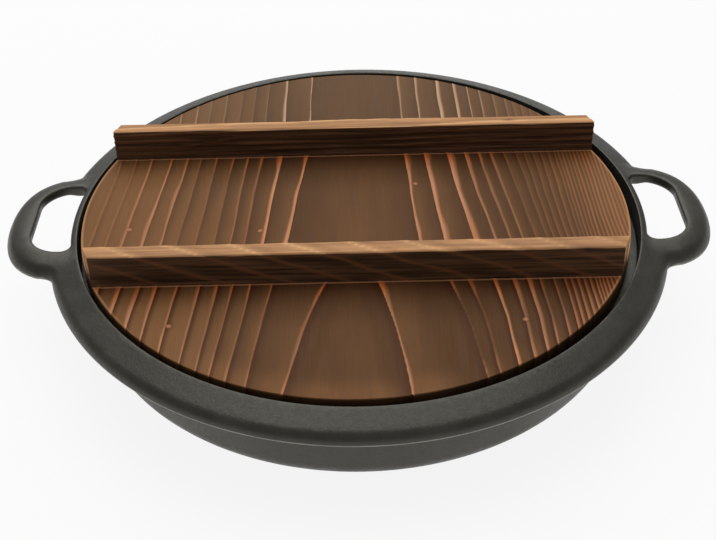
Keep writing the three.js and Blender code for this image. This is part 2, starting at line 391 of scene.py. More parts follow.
def finish_piece(piece, finish, body, node):
    """Gives a piece its finish and its place in the frame."""
    piece.data.materials.clear()
    piece.data.materials.append(finish)
    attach(piece, body)
    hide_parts(node)


def ease(low, high, value):
    """0 below low, 1 above high, and a smooth step between them."""
    share = min(1.0, max(0.0, (value - low) / (high - low)))
    return share * share * (3 - 2 * share)


def drift(x, y, seed=0.0):
    """Slow wandering between -1 and 1."""
    return noise.noise(Vector((x, y, seed)))


# finishes

class Finish:
    """One procedural finish, built node by node."""

    def __init__(self, name):
        self.material = bpy.data.materials.new(name)
        self.material.use_nodes = True
        self.tree = self.material.node_tree
        self.tree.nodes.clear()
        self.output = self.add("ShaderNodeOutputMaterial")
        self.shader = self.add("ShaderNodeBsdfPrincipled")
        self.join(self.shader.outputs[0], self.output.inputs["Surface"])
        self.place = self.add("ShaderNodeTexCoord").outputs["Object"]

    def add(self, kind, **settings):
        """Adds a node with its settings."""
        node = self.tree.nodes.new(kind)
        for key, value in settings.items():
            setattr(node, key, value)
        return node

    def join(self, value, socket):
        """Links a node's output to a socket, or sets the socket to a plain value."""
        if isinstance(value, bpy.types.NodeSocket):
            self.tree.links.new(value, socket)
        else:
            socket.default_value = value

    def grain(self, scale, stretch=(1, 1, 1), detail=3.0, roughness=0.55, turn=(0, 0, 0)):
        """Noise of a scale, drawn out along an axis."""
        mapping = self.add("ShaderNodeMapping")
        self.join(self.place, mapping.inputs["Vector"])
        self.join(stretch, mapping.inputs["Scale"])
        self.join(turn, mapping.inputs["Rotation"])
        node = self.add("ShaderNodeTexNoise")
        self.join(mapping.outputs[0], node.inputs["Vector"])
        self.join(scale, node.inputs["Scale"])
        self.join(detail, node.inputs["Detail"])
        self.join(roughness, node.inputs["Roughness"])
        return node.outputs[0]

    def axes(self):
        """How far along, across and up a point lies."""
        node = self.add("ShaderNodeSeparateXYZ")
        self.join(self.place, node.inputs[0])
        return node.outputs

    def plan(self):
        """A point's place as seen from above."""
        along, across = self.axes()[:2]
        node = self.add("ShaderNodeCombineXYZ")
        self.join(along, node.inputs[0])
        self.join(across, node.inputs[1])
        return node.outputs[0]

    def away(self, place, centre=(0, 0, 0)):
        """Distance of a place from a centre."""
        node = self.add("ShaderNodeVectorMath", operation="DISTANCE")
        self.join(place, node.inputs[0])
        self.join(centre, node.inputs[1])
        return node.outputs["Value"]

    def kept(self, name):
        """A number stored on the piece's own mesh."""
        return self.add("ShaderNodeAttribute", attribute_name=name).outputs["Fac"]

    def sum(self, operation, first, second=0.0, third=0.0, clamp=False):
        """One step of arithmetic."""
        node = self.add("ShaderNodeMath", operation=operation, use_clamp=clamp)
        for value, socket in zip((first, second, third), node.inputs):
            self.join(value, socket)
        return node.outputs[0]

    def times(self, first, second, clamp=False):
        """One number times another."""
        return self.sum("MULTIPLY", first, second, clamp=clamp)

    def span(self, value, low, high, start=0.0, end=1.0):
        """Spreads a range of values over another range, smoothly."""
        node = self.add("ShaderNodeMapRange", interpolation_type="SMOOTHSTEP")
        for item, socket in zip((value, low, high, start, end), node.inputs):
            self.join(item, socket)
        return node.outputs[0]

    def mix(self, share, first, second):
        """Mixes two colours."""
        node = self.add("ShaderNodeMix", data_type="RGBA")
        self.join(share, node.inputs[0])
        for value, socket in ((first, node.inputs[6]), (second, node.inputs[7])):
            self.join(value if isinstance(value, bpy.types.NodeSocket) else (*value, 1.0), socket)
        return node.outputs[2]

    def bump(self, height, depth, below=None):
        """A relief too fine for the mesh."""
        node = self.add("ShaderNodeBump")
        self.join(height, node.inputs["Height"])
        self.join(depth, node.inputs["Distance"])
        if below is not None:
            self.join(below, node.inputs["Normal"])
        return node.outputs[0]

    def paint(self, base, roughness, normal, specular, tint=(1, 1, 1)):
        """Sets the shader's sockets."""
        for name, value in (("Base Color", base), ("Roughness", roughness), ("Normal", normal),
                            ("Specular IOR Level", specular), ("Specular Tint", (*tint, 1.0))):
            self.join(value, self.shader.inputs[name])
        return self.material


def iron_finish(tone, size):
    """Satin black iron with the fine grain of a sand mould, and a painted highlight along the brim's lower
    arris.
    """
    look = Finish("sand_cast_iron")
    mottle = look.grain(60.0, detail=4.0)
    sand = look.grain(1500.0, detail=2.0, roughness=0.6)
    pits = look.grain(520.0, detail=3.0)
    base = look.mix(look.span(mottle, 0.35, 0.7), tone.iron, tone.iron_worn)
    base = look.mix(look.span(sand, 0.45, 0.75, 0.0, 0.4), base, tone.iron_worn)
    rough = look.span(look.sum("ADD", mottle, pits), 0.7, 1.3, 0.36, 0.48)
    away = look.away(look.plan())
    brim = size.brim_radius
    # painted highlight: a mottled light grey line along the outside of the brim's lower arris
    arris = size.brim_edge - size.brim_lip + 0.7 * MM
    level = look.sum("ABSOLUTE", look.sum("SUBTRACT", look.axes()[2], arris))
    wide = look.span(away, brim + 1 * MM, brim + 4 * MM, 0.6 * MM, 1.6 * MM)
    arris_glint = look.span(level, 0.1 * MM, wide, 1.0, 0.0)
    arris_glint = look.times(arris_glint, look.sum("GREATER_THAN", away, brim - 0.5 * MM))
    arris_glint = look.times(arris_glint, look.span(mottle, 0.3, 0.6, 0.45, 0.95))
    base = look.mix(arris_glint, base, tone.arris_highlight)
    relief = look.bump(sand, 0.00005)
    relief = look.bump(pits, 0.00007, relief)
    return look.paint(base, rough, relief, 0.7, tone.iron_sheen)


def board_finish(tone, lid):
    """Charred cedar, brushed until the hard grain stands up copper brown."""
    look = Finish("brushed_char_board")
    bold = look.kept("bold")
    pitch = look.kept("pitch")
    turn = look.sum("FRACT", look.kept("ring"))
    past = look.times(turn, pitch)
    ahead = look.sum("SUBTRACT", pitch, past)
    fibre = look.grain(900.0, (1, 0.03, 1), detail=4.0, roughness=0.62)
    hair = look.grain(3200.0, (1, 0.02, 1), detail=2.0)
    patch = look.grain(26.0, (1, 0.3, 1), detail=3.0)
    swell = look.grain(75.0, (1, 0.3, 1), detail=1.0)
    along, across, up = look.axes()
    wide = look.sum("ABSOLUTE", along)
    rim = look.away(look.plan(), (lid.shift, 0, 0))
    fringe = look.span(rim, lid.radius - 14 * MM, lid.radius - 2 * MM, 0.0, 0.32)
    fringe = look.times(fringe, look.span(across, -0.04, -0.06))

    # brushed flats, lighter towards the sides and the front rim; behind the rear batten a painted sheen makes
    # them lighter and greyer
    flats = look.sum("MULTIPLY_ADD", fibre, 0.3, look.times(patch, 0.6))
    flats = look.sum("MULTIPLY_ADD", turn, -0.34, look.sum("ADD", flats, 0.06))
    leftward = look.times(along, -1.0)
    outer = look.sum("MAXIMUM", leftward, look.sum("MULTIPLY_ADD", along, 2.2, -0.143))
    flats = look.sum("ADD", flats, look.span(outer, 0.03, 0.115, -0.09, 0.26))
    # lighter towards the rear, part of the painted sheen
    flats = look.sum("ADD", flats, look.span(across, 0.03, 0.1, 0.0, 0.1))
    shaded = look.times(look.span(along, 0.0, 0.06), look.span(across, -0.045, -0.075))
    flats = look.sum("MULTIPLY_ADD", shaded, -0.22, flats)
    lit = look.times(look.span(along, -0.02, -0.05), look.span(across, -0.055, -0.07))
    flats = look.sum("MULTIPLY_ADD", lit, 0.06, look.sum("MULTIPLY_ADD", fringe, 0.55, flats))
    base = look.mix(look.span(flats, 0.12, 0.62), tone.board_dark, tone.board_light)
    # painted sheen: greyer flats behind the rear batten
    base = look.mix(look.span(across, 0.04, 0.09, 0.0, 0.4), base, tone.board_rear_sheen)
    base = look.mix(look.span(hair, 0.55, 0.8, 0.0, 0.2), base, tone.char)

    # in front of each batten: scorched wood near its foot, partly painted shade, a wider painted shadow in
    # charred black, and a thin light line along its foot
    traces = {"scorch_and_shade": (0.0, 0.016, 1.0), "batten_shadow": (0.006, 0.032, 0.26), "line": (0.0006, 0.001, 1.0)}
    found = {name: [] for name in traces}
    for side in (-1, 1):
        near = look.sum("SUBTRACT", side * lid.batten_place - lid.batten_thickness / 2, across)
        before = look.sum("GREATER_THAN", near, 0.0)
        for name, (low, high, most) in traces.items():
            found[name].append(look.times(look.span(near, low, high, most, 0.0), before))
    ember_and_shade, batten_shadow, foot = (look.sum("ADD", *shares) for shares in found.values())
    heat = look.times(ember_and_shade, look.span(wide, 0.045, 0.09, 0.55, 0.1))

    # raised grain: a broad lee behind each ring and a narrow lip before it, with burnt grooves beside it; the
    # dark band on the steep face before each ring is charring and painted shade
    width = look.sum("MULTIPLY_ADD", bold, 0.0019, 0.0003)
    width = look.times(width, look.span(swell, 0.3, 0.7, 0.45, 1.6))
    narrower = look.span(across, 0.04, 0.07, 1.0, 0.6)
    width = look.times(width, look.sum("MULTIPLY_ADD", heat, 0.6, narrower))
    width = look.sum("MINIMUM", width, look.times(pitch, 0.45))
    lee = look.span(past, look.times(width, 0.2), look.times(width, 1.15), 1.0, 0.0)
    lip = look.span(ahead, 0.0, 0.0004, 1.0, 0.0)
    strength = look.span(bold, 0.1, 0.9, 0.07, 1.0)
    strength = look.sum("ADD", strength, look.sum("ADD", heat, fringe), clamp=True)
    crest = look.times(look.sum("MAXIMUM", lee, lip), strength)
    rubbed = look.times(crest, look.span(fibre, 0.3, 0.7, 0.7, 1.05), clamp=True)
    rubbed = look.times(rubbed, look.span(up, lid.top - 1.2 * MM, lid.top - 0.5 * MM))
    reach = look.sum("MINIMUM", look.sum("MULTIPLY_ADD", pitch, 0.22, 0.0012), 0.0058)
    reach = look.sum("MINIMUM", look.times(pitch, 0.5), reach)
    # darkening on the steep face before each ring: charring and painted shade, strongest at the front and by
    # the battens
    soot_and_shade_share = look.span(wide, 0.03, 0.075, 0.32, 0.62)
    soot_and_shade_share = look.times(look.span(across, -0.036, -0.052), soot_and_shade_share)
    soot_and_shade_share = look.sum("ADD", soot_and_shade_share, look.sum("MULTIPLY_ADD", ember_and_shade, 0.25, 0.1), clamp=True)
    soot_and_shade = look.times(look.span(ahead, 0.0002, reach, 1.0, 0.0), soot_and_shade_share)
    # painted shadow of each batten on the board in front of it
    base = look.mix(look.times(batten_shadow, look.span(wide, 0.03, 0.07, 1.0, 0.45)), base, tone.char)
    # scorched colour close to each batten's foot, partly painted shade
    base = look.mix(look.times(ember_and_shade, 0.36), base, tone.scorch_and_shade)
    base = look.mix(soot_and_shade, base, tone.scorch_and_shade)
    tint = look.grain(38.0, (1, 0.35, 1), detail=2.0)
    raised = look.mix(look.span(tint, 0.44, 0.6, 0.0, 0.4), tone.crest, tone.ember)
    # painted sheen: paler raised grain behind the rear batten
    raised = look.mix(look.span(across, 0.045, 0.075), raised, tone.crest_rear_sheen)
    base = look.mix(rubbed, base, look.mix(ember_and_shade, raised, tone.ember))
    base = look.mix(look.times(foot, 0.6), base, tone.crest)

    # pin knots, a painted highlight along the rim at the left and right, and the charred side
    for x, y in PIN_KNOTS:
        away = look.away(look.place, (x * MM, y * MM, lid.top))
        base = look.mix(look.span(away, 0.0012, 0.0026, 0.18, 0.0), base, tone.char)
        base = look.mix(look.span(away, 0.0004, 0.0016, 0.6, 0.0), base, tone.crest)
    # painted highlight: the rim at the left and right takes the light colour of the batten tops
    edge = look.span(rim, lid.radius - 1.4 * MM, lid.radius - 0.6 * MM, 0.0, 0.5)
    edge = look.times(edge, look.span(wide, 0.085, 0.112))
    base = look.mix(edge, base, tone.batten_top)
    base = look.mix(look.span(up, lid.top - 0.95 * MM, lid.top - 0.42 * MM, 0.75, 0.0), base, tone.char)
    rough = look.span(fibre, 0.3, 0.7, 0.5, 0.68)
    step = look.span(ahead, 0.0, 0.0007, 1.0, 0.0)
    step = look.sum("MAXIMUM", look.span(past, 0.0, 0.003, 1.0, 0.0), step)
    relief = look.bump(look.times(step, bold), 0.0002)
    relief = look.bump(fibre, 0.00022, relief)
    relief = look.bump(hair, 0.00006, relief)
    return look.paint(base, rough, relief, 0.12)


def batten_finish(name, tone, turn):
    """Charred batten wood, rubbed light along its top."""
    look = Finish(name)
    crest = look.kept("crest")
    groove = look.kept("groove")
    rub = look.kept("rub")
    fibre = look.grain(700.0, (0.035, 1, 1), detail=4.0, roughness=0.6, turn=turn)
    hair = look.grain(2600.0, (0.02, 1, 1), detail=2.0, turn=turn)
    shade = look.span(fibre, 0.32, 0.72)
    face = look.mix(shade, tuple(0.25 * part for part in tone.batten_face), tone.batten_face)
    face = look.mix(look.times(look.sum("POWER", crest, 1.8), 0.65), face, tone.batten_streak)
    top = look.mix(shade, tuple(0.6 * part for part in tone.batten_top), tone.batten_top)
    streak = look.times(look.sum("POWER", crest, 2.6), 0.85)
    top = look.mix(streak, top, tuple(min(1.0, 1.5 * part) for part in tone.batten_top))
    top = look.mix(look.times(groove, 0.35), top, tone.board_light)
    worn = look.span(look.sum("MULTIPLY_ADD", fibre, 0.5, look.sum("SUBTRACT", rub, 0.25)), 0.3, 0.7)
    base = look.mix(worn, face, top)
    base = look.mix(look.span(hair, 0.55, 0.8, 0.0, 0.3), base, tone.char)
    rough = look.span(fibre, 0.3, 0.7, 0.55, 0.75)
    relief = look.bump(fibre, 0.00028)
    relief = look.bump(hair, 0.00008, relief)
    return look.paint(base, rough, relief, 0.16)


# iron casting

def handle_line(size):
    """Half of a handle's outline, from its root inside the brim to its tip."""
    tip = size.handle_tip
    set_in = HANDLE_SET_IN * MM
    half = HANDLE_ROOT * MM
    arm = Vector((size.brim_radius + HANDLE_START * MM, HANDLE_ARM * MM))
    root = Vector((math.sqrt(size.brim_radius ** 2 - half ** 2) - set_in, half))
    neck = Vector((size.brim_radius - set_in, arm.y + HANDLE_FLARE * MM))
    shoulder = Vector((tip - set_in, HANDLE_SHOULDER * MM))
    bend = Vector((tip, HANDLE_TIP * MM))
    line = []
    for part in range(13):
        t = part / 12
        line.append(root * (1 - t) ** 2 + neck * 2 * t * (1 - t) + arm * t * t)
    for part in range(1, 25):
        t = part / 24
        line.append(arm * (1 - t) ** 3 + shoulder * 3 * t * (1 - t) ** 2
                    + bend * 3 * t * t * (1 - t) + Vector((tip, 0)) * t ** 3)
    return line


def handle_depth(line, point):
    """How far a point lies inside a handle's outline, less than 0 outside it."""
    here = Vector((abs(point.x), abs(point.y)))
    nearest = (1.0, 0.0)
    for start, end in zip(line, line[1:]):
        run = end - start
        share = min(1.0, max(0.0, (here - start).dot(run) / run.length_squared))
        away = here - start - run * share
        nearest = min(nearest, (away.length, run.cross(away)))
    return -math.copysign(nearest[0], nearest[1])


def brim_outline(size):
    """The brim's circle with both handles on it, as one outline with filleted roots."""
    line = handle_line(size)
    place = next(i for i, point in enumerate(line) if point.length > size.brim_radius)
    inside, outside = line[place - 1], line[place]
    meet = inside.lerp(outside, (size.brim_radius - inside.length) / (outside.length - inside.length))
    room = ROOT_ROOM * MM
    side = [(meet.x, meet.y, ROOT_FILLET * MM)]
    side += [(point.x, point.y, 0) for point in line[place:] if (point - meet).length > room]
    right = [(x, -y, r) for x, y, r in side[:-1]] + [(x, y, r) for x, y, r in reversed(side)]
    gap = math.atan2(meet.y, meet.x) + room / size.brim_radius
    arc = []
    parts = round(PAN_STEPS * (math.pi - 2 * gap) / math.tau)
    for part in range(parts + 1):
        angle = gap + (math.pi - 2 * gap) * part / parts
        arc.append((size.brim_radius * math.cos(angle), size.brim_radius * math.sin(angle), 0))
    left = [(-x, -y, r) for x, y, r in right]
    return rounded(right + arc + left + [(-x, -y, r) for x, y, r in arc], closed=True)


def opening_outline(size, side):
    """A handle's opening: the ring's arc inside, well rounded corners outside."""
    half = size.opening_half
    ring = size.opening_ring
    corner = math.sqrt(ring ** 2 - half ** 2)
    turn, heel = OPENING_CORNER * MM, OPENING_HEEL * MM
    corners = [(size.opening_reach, -half, turn), (size.opening_reach, half, turn), (corner, half, heel)]
    for place in range(4, -5, -1):
        y = place * OPENING_STEP * MM
        corners.append((math.sqrt(ring ** 2 - y ** 2), y, 0))
    corners.append((corner, -half, heel))
    return [(side * x, y) for x, y in rounded(corners, math.radians(7), closed=True)]


def in_opening(size, point):
    """Whether a point lies on a handle's opening."""
    return abs(point.y) < size.opening_half + 0.1 * MM and \
        size.opening_ring - 2.5 * MM < abs(point.x) < size.opening_reach + 0.1 * MM and \
        point.xy.length > size.opening_ring - 0.1 * MM


def brim_heights(size, line, point):
    """(lower, upper) face of the brim and handles over a point."""
    radius = point.xy.length
    rise = (size.brim_radius - radius) * size.brim_rise / (size.brim_radius - size.bore_radius)
    upper = size.brim_edge + rise
    foot = size.brim_edge - size.brim_lip
    if abs(point.x) < 0.1:
        return foot + rise, upper
    share = min(1.0, max(-0.4, handle_depth(line, point) / size.crown_run))
    crown = size.handle_top - size.handle_fall * (1 - share) ** 2
    soft = 0.2 * MM
    higher = max(upper, crown)
    upper = higher + soft * math.log1p(math.exp(-abs(upper - crown) / soft))
    hollow = foot + max(0.0, share) * (size.handle_top - size.handle_thickness - foot)
    return foot + rise + ease(0.128, 0.135, radius) * (hollow - foot - rise), upper


class GYOZA_OT_cast_pan(bpy.types.Operator):
    """Casts the pan: the spun bowl, and the brim with its two loop handles"""
    bl_idname = "gyoza.cast_pan"
    bl_label = "Cast the pan"

    def execute(self, context):
        size = context.scene.gyoza_pan
        top = size.brim_edge
        foot = top - size.brim_lip
        brim = prism("iron_pan", brim_outline(size), foot, top)
        for side in (-1, 1):
            cut = prism("opening", opening_outline(size, side), foot - 0.01, top + 0.01)
            apply_boolean(brim, cut, "DIFFERENCE")
        deselect()
        bpy.ops.mesh.primitive_cylinder_add(
            vertices=PAN_STEPS, radius=size.bore_radius, depth=0.04, location=(0, 0, top))
        apply_boolean(brim, named("bore"), "DIFFERENCE")

        def opening(point):
            return in_opening(size, point)

        def outer(point):
            return point.xy.length > size.brim_radius - 0.3 * MM and not opening(point)

        def bore(point):
            return point.xy.length < size.bore_radius + 0.05 * MM

        for height, test, width, segments in (
                (top, outer, size.edge_round, 6), (foot, outer, 0.9 * MM, 3), (top, opening, 1.1 * MM, 4),
                (foot, opening, 1.3 * MM, 3), (top, bore, 0.7 * MM, 3)):
            round_edges(brim, lambda *ends: all(abs(end.z - height) < TOUCH and test(end) for end in ends),
                        width, segments)
        edit(brim)
        for axis, reach in ((0, size.handle_tip), (1, size.brim_radius)):
            normal = [0, 0, 0]
            normal[axis] = 1
            lines = int(reach / (BRIM_GRID * MM))
            for line in range(-lines, lines + 1):
                place = [0, 0, 0]
                place[axis] = (line + BRIM_GRID_SHIFT) * BRIM_GRID * MM
                select_all()
                bpy.ops.mesh.bisect(plane_co=place, plane_no=normal)
        close()
        line = handle_line(size)
        shifts = []
        for vertex in brim.data.vertices:
            low, high = brim_heights(size, line, vertex.co)
            share = (vertex.co.z - foot) / size.brim_lip
            shifts.append(low + share * (high - low) - vertex.co.z)
        least = min(shifts)
        reach = max(shifts) - least
        raise_by(brim, [(shift - least) / reach for shift in shifts], reach)
        edit(brim)
        select_all()
        bpy.ops.transform.translate(value=(0, 0, least))
        close()
        wall = size.wall_radius
        belt = size.seat_height - 1 * MM
        inner = size.bore_radius + 0.12 * MM
        slope = size.brim_rise / (size.brim_radius - size.bore_radius)
        under = foot + (size.brim_radius - size.belt_radius) * slope
        profile = rounded([
            (0, 0, 0), (wall - size.draft, 0, 9 * MM), (wall, belt - 7 * MM, 3 * MM),
            (size.belt_radius, belt, 3 * MM), (size.belt_radius, under + 1.2 * MM, 0),
            (inner, under + 2.2 * MM, 0), (inner, size.seat_height, 1 * MM),
            (size.well_radius, size.seat_height, 0.8 * MM),
            (size.well_radius - size.draft, size.floor_thickness, 10 * MM), (0, size.floor_thickness, 0)])
        apply_boolean(brim, turned("bowl", profile, PAN_STEPS), "UNION")
        edit(brim)
        outward()
        close()
        smooth(brim, math.radians(38))
        finish_piece(brim, iron_finish(context.scene.gyoza_finish, size), "pan", "pan_casting")
        return {"FINISHED"}


# lid

@lru_cache(maxsize=None)
def ring_lines(left, y):
    """Squared distances of a side's growth rings from the board's middle line at a row."""
    if left:
        rings, rows, span = LEFT_RINGS, LEFT_OPENING, LEFT_SPAN
    else:
        rings, rows, span = RIGHT_RINGS, RIGHT_OPENING, RIGHT_SPAN
    place = next((i for i in range(1, len(rows) - 1) if y > rows[i][0]), len(rows) - 1)
    (back, *before), (front, *after) = rows[place - 1], rows[place]
    share = (back - y) / (back - front)
    inner, outer = (a + (b - a) * share for a, b in zip(before, after))
    lines = []
    for width in (ring[0] for ring in rings):
        opened = inner + (outer - inner) * ease(*span, width)
        if not left:
            opened *= 1 - RIM_SHARE * ease(*RIM_SPAN, width)
        lines.append(width * width + opened)
    return lines


def flame(x, y):
    """How far outside the innermost ring a point lies, in mm."""
    (back, start), (front, end) = FLAME_MIDDLE
    middle = start + (end - start) * (y - back) / (front - back)
    gap = (x - middle) ** 2 - FLAME_OPENING * (FLAME_TIP - y)
    return gap / math.hypot(2 * (x - middle), FLAME_OPENING)


def zones(y):
    """Shares of the board behind, between and in front of the battens at a row."""
    rear, front = ease(40, 54, y), ease(-40, -54, y)
    return rear, 1 - rear - front, front


def board_ring(x, y):
    """(count of rings from the innermost one, mm from ring to ring, boldness) at a point in mm."""
    wander = x + 0.7 * drift(x / 26, y / 45) + 0.25 * drift(x / 8, y / 17, 5.0)
    left = x < 0
    rings = LEFT_RINGS if left else RIGHT_RINGS
    limits = ring_lines(left, y)
    spread = wander * wander
    index = min(len(rings) - 1, bisect_right(limits, spread))
    pace = (ring_lines(left, y - 2)[index] - ring_lines(left, y + 2)[index]) / 4
    steep = math.hypot(2 * wander, pace)
    outward_bold = sum(a * b for a, b in zip(zones(y), rings[index][1:]))
    if index == 0:
        rightward = ease(*HEART_BLEND, x)
        flame_bold = FLAME_BOLD[0] + (FLAME_BOLD[1] - FLAME_BOLD[0]) * rightward
        inner = flame(wander, y)
        edges = [ring_lines(side, y)[0] for side in (True, False)]
        edge = edges[0] + (edges[1] - edges[0]) * rightward
        outer = max(0.05, (edge - spread) / math.hypot(2 * wander, HEART_PACE))
        if inner < 0:
            return max(-0.7, inner / HEART_PITCH), HEART_PITCH, flame_bold
        share = inner / (inner + outer)
        return share, inner + outer, flame_bold + share * (outward_bold - flame_bold)
    low, high = limits[index - 1], limits[index]
    share = min(1.0, (spread - low) / (high - low))
    inward_bold = sum(a * b for a, b in zip(zones(y), rings[index - 1][1:]))
    return index + share, (high - low) / steep, inward_bold + share * (outward_bold - inward_bold)


def ridge(x, y):
    """Height of the brushed board at a point in mm, from 0 to 1."""
    turns, pitch, bold = board_ring(x, y)
    share = turns - math.floor(turns)
    past, ahead = share * pitch, (1 - share) * pitch
    swing = min(1.0, pitch / 6.5) * (1.0 + 0.45 * drift(x / 12, y / 22, 9.0))
    bold *= 1.0 + 0.3 * drift(x / 9, y / 30, 13.0)
    lee = 0.55 * math.exp(-(past / (1.5 * swing)) ** 2) + 0.4 * (1 - share)
    rise = 0.95 * math.exp(-(ahead / (0.7 * swing)) ** 2)
    return min(1.0, max(0.0, bold * max(lee, rise)))


def bar(name, low, high):
    """A square bar between two corners."""
    deselect()
    middle = [(a + b) / 2 for a, b in zip(low, high)]
    bpy.ops.mesh.primitive_cube_add(size=1, location=middle, scale=[b - a for a, b in zip(low, high)])
    return named(name)


def lid_disc(lid, low, high, edge):
    """A round blank on the lid's own centre, with its rims rounded."""
    deselect()
    bpy.ops.mesh.primitive_cylinder_add(
        vertices=LID_STEPS, radius=lid.radius, depth=high - low, location=(lid.shift, 0, (low + high) / 2))
    disc = named("blank")
    if edge > 0:
        round_edges(disc, lambda a, b: abs(a.z - b.z) < TOUCH and (a - b).length < 0.02, edge, 2)
    return disc


class GYOZA_OT_saw_board(bpy.types.Operator):
    """Makes the lid's round board with brushed grain and dovetail grooves"""
    bl_idname = "gyoza.saw_board"
    bl_label = "Saw the lid board"

    def execute(self, context):
        lid = context.scene.gyoza_lid
        deselect()
        low_face = lid.top - lid.ridge * 0.8
        bpy.ops.mesh.primitive_grid_add(
            x_subdivisions=BOARD_GRID[0], y_subdivisions=BOARD_GRID[1], size=2 * lid.radius + 3 * MM,
            location=(lid.shift, 0, low_face))
        board = named("brushed_lid_board")
        edit(board)
        bpy.ops.mesh.select_non_manifold()
        drop = (0, 0, lid.base - low_face - 1 * MM)
        bpy.ops.mesh.extrude_region_move(TRANSFORM_OT_translate={"value": drop})
        bpy.ops.mesh.edge_face_add()
        outward()
        close()
        heights = [
            ridge(v.co.x / MM, v.co.y / MM) if v.co.z > low_face - MM else 0.0 for v in board.data.vertices]
        raise_by(board, heights, lid.ridge)
        apply_boolean(board, lid_disc(lid, lid.base, lid.top + 0.25 * MM, lid.edge), "INTERSECT")
        for side in (-1, 1):
            place = side * lid.batten_place
            half = lid.tongue_neck / 2 + lid.clearance
            depth = lid.top - lid.tongue_depth - lid.clearance
            groove = bar("groove", (-GROOVE_BLANK, place - half, depth),
                         (GROOVE_BLANK, place + half, lid.top + 2 * MM))
            spread_foot(groove, place, depth, (lid.tongue_root + 2 * lid.clearance) / (2 * half))
            apply_boolean(board, groove, "DIFFERENCE")
        turns, pitches, bolds = zip(*(board_ring(v.co.x / MM, v.co.y / MM) for v in board.data.vertices))
        store(board, "ring", [turn + 1 for turn in turns])
        store(board, "pitch", [pitch * MM for pitch in pitches])
        store(board, "bold", list(bolds))
        smooth(board, math.radians(40))
        finish = board_finish(context.scene.gyoza_finish, lid)
        finish_piece(board, finish, "lid", "lid_board")
        return {"FINISHED"}


def spread_foot(piece, place, foot, widening):
    """Widens a tongue or groove at its foot into a dovetail."""
    select_edges(piece, lambda a, b: abs(a.z - foot) < TOUCH and abs(b.z - foot) < TOUCH)
    bpy.ops.transform.resize(value=(1, widening, 1), center_override=(0, place, foot))
    close()


class Grain:
    """How the growth rings lie in a batten: direction, then spacing, depth, sway and knot in mm."""

    def __init__(self, direction, pitch, depth, sway, knot=None):
        self.direction = Vector(direction).normalized()
        self.pitch = pitch
        self.depth = depth
        self.sway = sway
        self.knot = knot

    def at(self, x, y, z):
        """(hollow, crest, groove) at a point in mm, each from 0 to 1."""
        place = Vector((x, y, z)).dot(self.direction)
        place += self.sway * (drift(x / 42, z / 30, 3.0) + 0.35 * drift(x / 13, z / 9, 7.0))
        if self.knot:
            away = Vector((x, z)) - Vector(self.knot)
            place += 1.6 * math.copysign(1.0, away.y) * math.exp(-(away.x / 9) ** 2 - (away.y / 3.5) ** 2)
        turns = place / self.pitch
        ring = math.floor(turns)
        share = turns - ring
        bold = 0.55 + 0.45 * math.sin(ring * 12.99)
        crest = math.exp(-((share - 0.78) / 0.12) ** 2) * (0.55 + 0.45 * bold)
        groove = math.exp(-((share - 0.08) / 0.14) ** 2) + math.exp(-((share - 1.08) / 0.14) ** 2)
        hollow = 1 - (0.15 + 0.85 * share ** 1.6 if share < 0.86 else 0.9 * (1 - share) / 0.14)
        return min(1.0, max(0.0, hollow)), min(1.0, max(0.0, crest)), min(1.0, groove)


FRONT_GRAIN = Grain((0.31, 0.6, 0.74), 7.7, 0.3, 1.6)
REAR_GRAIN = Grain((-0.015, 0.42, 0.9), 3.1, 0.75, 0.8, knot=(-68.0, 53.0))


def plane_batten(name, lid, side, grain):
    """One batten with its dovetail tongue, its brushed grain and its ends sawn to the lid's circle."""
    place = side * lid.batten_place
    half = lid.batten_thickness / 2
    piece = bar(name, (-BATTEN_BLANK, place - half, lid.top - 0.1 * MM),
                (BATTEN_BLANK, place + half, lid.batten_top))
    top = lid.batten_top - TOUCH
    round_edges(piece, lambda a, b: a.z > top and b.z > top and abs(a.x - b.x) > 0.1, 0.9 * MM, 3)
    edit(piece)
    for line in (-1, 1):
        select_all()
        bpy.ops.mesh.bisect(plane_co=(0, place + line * lid.tongue_neck / 2, 0), plane_no=(0, 1, 0))
    select_edges(piece, lambda a, b: abs(a.x - b.x) > 0.1)
    bpy.ops.mesh.subdivide(number_cuts=BATTEN_CUTS["long"])
    select_edges(piece, lambda a, b: abs(a.z - b.z) > 5 * MM)
    bpy.ops.mesh.subdivide(number_cuts=BATTEN_CUTS["tall"])
    select_edges(piece, lambda a, b: abs(a.y - b.y) > 1.2 * MM and a.z > top and b.z > top)
    bpy.ops.mesh.subdivide(number_cuts=BATTEN_CUTS["top"])
    close()
    depths = []
    for vertex in piece.data.vertices:
        x, y, z = (part / MM for part in vertex.co)
        hold = ease(lid.top + 0.2 * MM, lid.top + 1.5 * MM, vertex.co.z)
        depths.append(grain.at(x, y - place / MM, z)[0] * hold)
    raise_by(piece, depths, -grain.depth * MM, "NORMAL")
    foot = lid.top - lid.tongue_depth
    tongue = bar("tongue", (-BATTEN_BLANK, place - lid.tongue_neck / 2, foot),
                 (BATTEN_BLANK, place + lid.tongue_neck / 2, lid.top + 2 * MM))
    spread_foot(tongue, place, foot, lid.tongue_root / lid.tongue_neck)
    apply_boolean(piece, tongue, "UNION")
    apply_boolean(piece, lid_disc(lid, lid.base - 5 * MM, lid.batten_top + 5 * MM, 0), "INTERSECT")
    crests, grooves, rubs = [], [], []
    for vertex in piece.data.vertices:
        x, y, z = (part / MM for part in vertex.co)
        crest, groove = grain.at(x, y - place / MM, z)[1:]
        wander = 0.35 * drift(x / 11, y / 6, 21.0)
        crests.append(crest)
        grooves.append(groove)
        rubs.append(ease(lid.batten_top / MM - 1.3, lid.batten_top / MM - 0.35, z + wander))
    store(piece, "crest", crests)
    store(piece, "groove", grooves)
    store(piece, "rub", rubs)
    smooth(piece, math.radians(45))
    return piece


